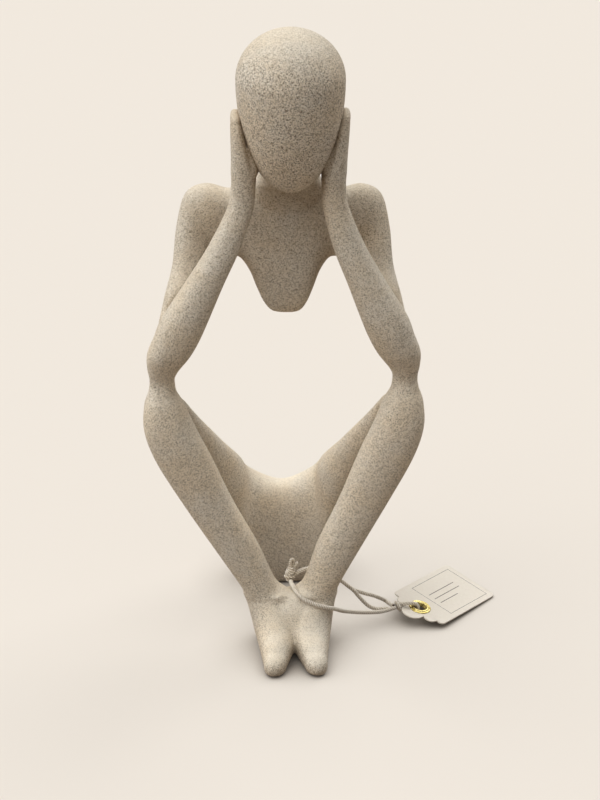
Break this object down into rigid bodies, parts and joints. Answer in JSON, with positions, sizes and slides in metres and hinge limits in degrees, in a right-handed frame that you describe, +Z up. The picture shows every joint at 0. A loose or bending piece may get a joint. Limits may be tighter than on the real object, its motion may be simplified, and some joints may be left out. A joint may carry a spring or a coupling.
{
  "type": "thinker figurine",
  "caption": "Seated abstract figure in sandstone-effect resin, faceless egg head held in its hands and elbows on its knees, with a card hang tag corded round its shin.",
  "frame": {"origin": "on the floor under the middle of the figure, the hang tag and its cord left out", "axes": "+Z up, the figure faces -Y, +X is the figure's own left"},
  "size_m": [0.146, 0.1027, 0.2598],
  "materials": {
    "cast_resin": "matt sand-filled cast, sandstone effect",
    "steel": "plain ground pin",
    "felt": "pressed felt",
    "card": "uncoated printed card",
    "brass": "bright rolled brass",
    "cotton_cord": "twisted cotton"
  },
  "bodies": {
    "figure": {"head": "cast_resin", "torso": "cast_resin", "left_upper_arm": "cast_resin", "right_upper_arm": "cast_resin", "left_forearm": "cast_resin", "right_forearm": "cast_resin", "left_shin": "cast_resin", "right_shin": "cast_resin", "left_thigh": "cast_resin", "right_thigh": "cast_resin", "seat": "cast_resin", "neck_pin": "steel", "shoulder_pins": "steel", "elbow_pins": "steel", "link_pins": "steel", "knee_pins": "steel", "hip_pins": "steel", "cheek_pins": "steel", "foot_pin": "steel", "seat_pad": "felt", "foot_pads": "felt", "cord_front": "cotton_cord", "cord_rear": "cotton_cord", "cord_spare": "cotton_cord", "knot": "cotton_cord", "cord_tails": "cotton_cord"},
    "tag": {"tag_card": "card", "eyelet": "brass", "eyelet_washer": "brass", "hitch": "cotton_cord", "tag_loop": "cotton_cord"}
  },
  "joints": [
    {"name": "tag_swing", "type": "hinge", "parent": "figure", "child": "tag", "pos_m": [0.0464, -0.0063, 0.0068], "axis": [0.309, -0.9511, 0], "range_deg": [0, 90]}
  ]
}
